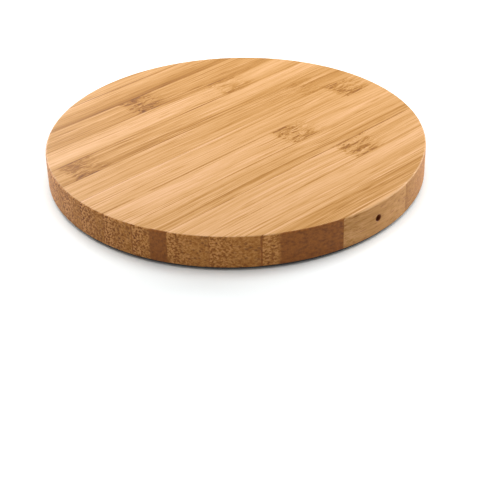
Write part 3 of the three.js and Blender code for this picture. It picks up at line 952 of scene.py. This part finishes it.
def make_port_shell():
    """A drawn sleeve with a bevelled mouth and two legs on each side."""
    rear, front = port_low.y, port_high.y
    bevel = front - PORT_LIP
    outside = [port_outline(0, rear), port_outline(0, bevel), port_outline(PORT_LIP, front)]
    shell = mesh_of("port_shell", moved(standing(outside), PORT_PLACE))
    inside = [
        port_outline(PORT_WALL, rear - 1),
        port_outline(PORT_WALL, bevel),
        port_outline(PORT_WALL - PORT_LIP, front + 0.02),
    ]
    boolean(shell, "DIFFERENCE", moved(standing(inside), PORT_PLACE))
    leg_top = BOARD_TOP + 0.4
    root = PORT_WIDTH / 2 - PORT_WALL / 2
    for along in LEG_PLACES:
        for side in (-1, 1):
            tip = side * port_high.x
            arm = bar(port_high.x - root, LEG_WIDTH, 0.1, leg_top - PORT_WALL, leg_top, 0.03)
            leg = bar(PORT_WALL, LEG_WIDTH, 0.1, port_low.z + 0.1, leg_top, 0.03)
            boolean(shell, "UNION", moved(arm, ((tip + side * root) / 2, along, 0)))
            boolean(shell, "UNION", moved(leg, (tip - side * PORT_WALL / 2, along, 0)))
    piece(shell, [nickel], ["usb_shell"])


def make_port_tongue():
    """The moulded block and its tongue, with a row of contacts on each face."""
    low, high = box_mm("usb_insulator")
    block = [port_outline(0.36, low.y), port_outline(0.36, low.y + 1.5)]
    insulator = mesh_of("port_tongue", moved(standing(block), PORT_PLACE))
    blade = bar(*TONGUE, 0.3, low.y + 0.8, high.y, 0.12, 3)
    boolean(insulator, "UNION", moved(standing(blade), PORT_PLACE))
    piece(insulator, [port_black], ["usb_insulator"])

    contacts = []
    for row in (-1, 1):
        for i in range(CONTACT_COUNT):
            length = 3.6 if i in POWER_CONTACTS else 3.0
            contact = bar(CONTACT_WIDTH, length, 0.05, -0.02, 0.04, 0.02, 1)
            across = (i - (CONTACT_COUNT - 1) / 2) * CONTACT_PITCH
            face = PORT_MIDDLE + row * TONGUE[1] / 2
            contacts.append(moved(contact, (across, high.y - 0.55 - length / 2, face)))
    piece(mesh_of("port_contacts", *contacts), [gold])


def make_indicator():
    """A side-looking lamp: a base, and a window that faces the hole."""
    low, high = box_mm("indicator_led")
    reach = (high.y - low.y) * LAMP_SHARE
    base = bar(LAMP_WIDTH, reach, 0.1, low.z, high.z, 0.05)
    window = bar(WINDOW_WIDTH, high.z - low.z - 0.4, 0.3, low.y, low.y + reach, 0.12, 3)
    led = mesh_of("indicator", moved(base, (0, high.y - reach / 2, 0)))
    boolean(led, "UNION", moved(standing(window), (0, 0, INDICATOR_HEIGHT)))
    piece(led, [led_resin], ["indicator_led"])


make_port_shell()
make_port_tongue()
make_indicator()


# ---- The board's components ----

# Each one's width and depth
CHIPS = {
    "power_inductor": (4.0, 4.0),
    "voltage_regulator": (3.0, 2.8),
    "crystal": (3.2, 2.5),
    "charge_controller": (5.0, 5.0),
    "fuse": (3.2, 1.6),
    "thermistor": (1.6, 0.8),
    **{f"input_capacitor_{i}": (3.2, 2.5) for i in (1, 2)},
    **{f"mosfet_{i}": (3.0, 3.0) for i in (1, 2, 3, 4)},
    **{f"resonance_capacitor_{i}": (4.5, 3.2) for i in (1, 2, 3, 4)},
}
CERAMIC = ("capacitor", "fuse", "thermistor")
END_CAP = 0.17  # of a ceramic block's width
LEAD_PITCH = 0.65  # about
LEAD_SIZE = (0.4, 0.28)


def chip_place(node):
    """Where a component stands, its turn in degrees, and its lowest and highest level."""
    low, high = box_mm(node)
    middle = (low + high) / 2
    return (middle.x, middle.y, 0), math.degrees(math.atan2(middle.y, middle.x)), low.z, high.z


def make_ceramic(node, width, depth):
    """A ceramic block with a tinned cap over each end."""
    spot, degrees, bottom, top = chip_place(node)
    cap = width * END_CAP
    height = top - bottom
    half = width * 0.47
    core = bar(depth * 0.96, height * 0.94, 0.05, -half, half, 0.05)
    starts = [-width / 2, width / 2 - cap]
    caps = [bar(depth, height, 0.12, start, start + cap, 0.08, 3) for start in starts]
    lift = (0, 0, (bottom + top) / 2)
    laid = [moved(moved(standing(part), lift, -90), spot, degrees) for part in (core, *caps)]
    chip = mesh_of(node + "_block", laid[0])
    ends = mesh_of(node + "_ends", *laid[1:])
    piece(chip, [chip_ceramic], [node])
    piece(ends, [tin])


def make_package(node, width, depth):
    """A moulded package with a bevelled top, a dimple for its first pin and flat leads."""
    spot, degrees, bottom, top = chip_place(node)
    shape = bar(width, depth, 0.12, bottom + 0.04, top, 0.08)
    chip = mesh_of(node + "_package", moved(shape, spot, degrees))
    turned = Matrix.Rotation(math.radians(degrees), 3, "Z")
    pin_one = Vector(spot) + turned @ Vector((width * 0.33, depth * 0.33, 0))
    boolean(chip, "DIFFERENCE", cylinder(0.25, top - 0.06, top + 1, 20, pin_one.xy))
    piece(chip, [chip_resin], [node])
    leads = []
    count = max(3, int(depth / LEAD_PITCH))
    for side in (-1, 1):
        for i in range(count):
            lead = bar(*LEAD_SIZE, 0.05, bottom - 0.04, bottom + 0.12, 0.02, 1)
            across = (i - (count - 1) / 2) * depth * 0.8 / count
            place = Vector(spot) + turned @ Vector((side * width / 2, across, 0))
            leads.append(moved(lead, place, degrees))
    piece(mesh_of(node + "_leads", *leads), [tin])


for chip_node, (chip_width, chip_depth) in CHIPS.items():
    if any(word in chip_node for word in CERAMIC):
        make_ceramic(chip_node, chip_width, chip_depth)
    else:
        make_package(chip_node, chip_width, chip_depth)


# ---- The coil ----

WIRE_RADIUS = 0.5
BUNDLES = 6  # twisted bundles of strands that show round the wire
BUNDLE_POINTS = 4  # round each bundle
BUNDLE_GROOVE = 0.06
LAY = 5.5  # millimetres along the wire for one turn of the twist
ROUTE_STEP = 0.55
COIL_INNER_RADIUS = 10.8
COIL_PITCH = 1.25
COIL_START = 265  # degrees
COIL_STEPS = 258
STEPS_PER_TURN = 30
WINDING_HEIGHT = (box_mm("ferrite_shield")[1].z + box_mm("coil_tape")[0].z) / 2
LEAD_HEIGHT = (BOARD_TOP + box_mm("ferrite_shield")[1].z) / 2


def coil_route():
    """The wire's centreline: in along the slot, up, round its turns and down over the edge."""
    slot = [(-27.2, 0), (-24, 0), (-18, 0), (-12, 0), (-10, 0.06), (-8.4, 0.55)]
    route = [Vector((x, 0, LEAD_HEIGHT + rise)) for x, rise in slot]
    route.append(Vector((-6.9, 0, WINDING_HEIGHT - 0.1)))
    bend = [(-5.6, -0.35), (-4.7, -1.8), (-4.5, -4), (-4.2, -6.6), (-3.1, -9)]
    route += [Vector((x, y, WINDING_HEIGHT)) for x, y in bend]
    for step in range(COIL_STEPS + 1):
        turns = step / STEPS_PER_TURN
        radius = COIL_INNER_RADIUS + COIL_PITCH * turns
        route.append(polar(radius, COIL_START + 360 * turns, WINDING_HEIGHT))
    route += [polar(22.6, 143, WINDING_HEIGHT), polar(24.6, 155, WINDING_HEIGHT)]
    route += [polar(26, 160, WINDING_HEIGHT - 0.1), polar(27.4, 164, LEAD_HEIGHT + 0.35)]
    return route + [polar(29, 168, LEAD_HEIGHT)]


def smoothed(route):
    """Points on a smooth line through the route's, about a step apart."""
    ends = [route[0] * 2 - route[1], *route, route[-1] * 2 - route[-2]]
    points = []
    for before, start, end, after in zip(ends, ends[1:], ends[2:], ends[3:]):
        steps = max(2, round((end - start).length / ROUTE_STEP))
        pull = (end - before) / 2, (after - start) / 2
        for t in (step / steps for step in range(steps)):
            points.append(
                start * (1 - 3 * t**2 + 2 * t**3)
                + end * (3 * t**2 - 2 * t**3)
                + pull[0] * (t - 2 * t**2 + t**3)
                + pull[1] * (t**3 - t**2)
            )
    return points + [route[-1]]


def make_coil():
    """Litz wire: a tube whose section is a ring of bundles that turns along the wire."""
    points = smoothed(coil_route())
    count = BUNDLES * BUNDLE_POINTS
    loops = []
    run = 0.0
    for i, point in enumerate(points):
        ahead, behind = points[min(i + 1, len(points) - 1)], points[max(i - 1, 0)]
        along = (ahead - behind).normalized()
        side = along.cross(Vector((0, 0, 1))).normalized()
        up = side.cross(along)
        run += (point - behind).length
        twist = 2 * math.pi * run / LAY
        loop = []
        for j in range(count):
            angle = 2 * math.pi * j / count
            groove = BUNDLE_GROOVE * (0.5 - 0.5 * math.cos(BUNDLES * angle))
            turned = angle + twist
            arm = side * math.cos(turned) + up * math.sin(turned)
            loop.append(point + arm * (WIRE_RADIUS - groove))
        loops.append(loop)
    piece(mesh_of("coil_winding", loops), [litz], ["transmitter_coil"], smooth=60)
    joint = bar(2.2, 1.3, 0.6, BOARD_TOP - 0.02, BOARD_TOP + 0.3, 0.2, 3)
    joints = [moved(joint, place) for place in ((-28.0, 0, 0), polar(29.6, 169.5))]
    piece(mesh_of("coil_joints", *joints), [tin])


make_coil()


# ---- CAD nodes that stay ----


def dress(node, material):
    """Gives a CAD node its material."""
    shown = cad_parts[node]
    shown.data.materials.clear()
    shown.data.materials.append(material)


dress("circuit_board", solder_mask)
dress("shield_tape", tape)
dress("ferrite_shield", ferrite)
dress("coil_tape", tape)


# ---- Floor and light ----

FLOOR_HALF = 3.0  # metres
FLOOR_WHITE = (0.90, 0.93, 0.93, 1)
SKY_STRENGTH = 0.37
SUN_ANGLE = 45  # degrees across, for soft shadows
SOFTBOX_SIZE = (0.35, 0.2)
# Each one's power and stage_point
SOFTBOXES = {"left_side": (4.25, (-0.36, -0.4, 0.12)), "right_side": (3.2, (0.42, -0.27, 0.14))}
LIGHT_TARGET = (0, 0, 0.005)


def make_floor():
    """A plain pale sheet under the pad."""
    corners = [(-1, -1), (1, -1), (1, 1), (-1, 1)]
    mesh = bpy.data.meshes.new("floor")
    mesh.from_pydata([(x * FLOOR_HALF, y * FLOOR_HALF, 0) for x, y in corners], [], [(0, 1, 2, 3)])
    floor = placed("floor", mesh)
    white = bpy.data.materials.new("floor_white")
    white.use_nodes = True
    shader = white.node_tree.nodes["Principled BSDF"]
    shader.inputs["Base Color"].default_value = FLOOR_WHITE
    shader.inputs["Roughness"].default_value = 0.9
    shader.inputs["Specular IOR Level"].default_value = 0.1
    mesh.materials.append(white)


def make_light(name, kind, strength, place):
    """A light at a stage_point, facing the pad."""
    data = bpy.data.lights.new(name, kind)
    data.energy = strength
    light = placed(name, data)
    light.location = stage_point(*place)
    direction = Vector(LIGHT_TARGET) - light.location
    light.rotation_euler = direction.to_track_quat("-Z", "Y").to_euler()
    return data


make_floor()
world = bpy.data.worlds.new("studio")
scene.world = world
world.use_nodes = True
background = world.node_tree.nodes["Background"]
background.inputs["Color"].default_value = (1, 1, 1, 1)
background.inputs["Strength"].default_value = SKY_STRENGTH
make_light("overhead", "SUN", 1.95, (0.0, -0.13, 1.0)).angle = math.radians(SUN_ANGLE)
for box_name, (power, box_place) in SOFTBOXES.items():
    softbox = make_light(box_name, "AREA", power, box_place)
    softbox.shape = "RECTANGLE"
    softbox.size, softbox.size_y = SOFTBOX_SIZE
scene.view_settings.view_transform = "Standard"
